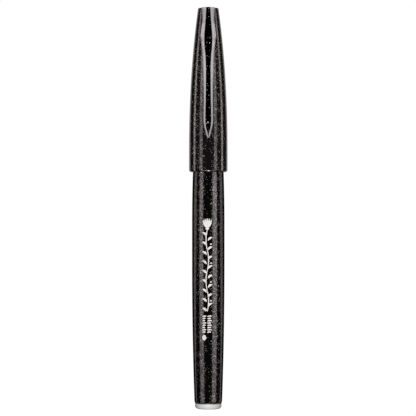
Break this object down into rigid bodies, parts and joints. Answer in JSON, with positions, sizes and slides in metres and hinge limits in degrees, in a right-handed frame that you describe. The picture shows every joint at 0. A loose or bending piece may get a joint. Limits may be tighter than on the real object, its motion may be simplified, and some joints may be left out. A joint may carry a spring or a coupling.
{
  "type": "calligraphy marker",
  "caption": "Slim black capped brush-tip marker with a faceted tapering cap, a long leaf-shaped pocket clip and a pale tail plug.",
  "frame": {"origin": "centre of the flat end of the tail plug", "axes": "+Z along the pen from the tail to the top of the cap; -Y towards the side with the clip"},
  "size_m": [0.0136, 0.0158, 0.142],
  "materials": {
    "barrel_plastic": "glossy black with fine glitter",
    "plug_plastic": "translucent white",
    "reservoir_fibre": "ink-soaked fibre",
    "film_plastic": "thin clear-white film",
    "wick_fibre": "ink-soaked fibre",
    "holder_plastic": "glossy black",
    "nib_fibre": "inked brush fibre",
    "cap_plastic": "glossy black with fine glitter",
    "liner_plastic": "milky natural plastic",
    "crown_plastic": "glossy black",
    "clip_plastic": "glossy black with fine glitter"
  },
  "bodies": {
    "pen": {"barrel": "barrel_plastic", "tail_plug": "plug_plastic", "reservoir_core": "reservoir_fibre", "reservoir_film": "film_plastic", "relay_wick": "wick_fibre", "nib_holder": "holder_plastic", "brush_nib": "nib_fibre"},
    "cap_liner": {"inner_cap": "liner_plastic"},
    "cap": {"cap_shell": "cap_plastic", "cap_crown": "crown_plastic"},
    "clip": {"clip": "clip_plastic"}
  },
  "joints": [
    {"name": "cap_pull", "type": "slide", "parent": "pen", "child": "cap_liner", "axis": [0, 0, 1], "range_m": [0, 0.06]},
    {"name": "cap_turn", "type": "hinge", "parent": "cap_liner", "child": "cap", "pos_m": [0, 0, 0.115], "axis": [0, 0, 1], "continuous": true},
    {"name": "clip_flex", "type": "hinge", "parent": "cap", "child": "clip", "pos_m": [0, -0.002, 0.1393], "axis": [-1, 0, 0], "range_deg": [0, 3], "stiffness_Nm_per_rad": 3.5}
  ]
}
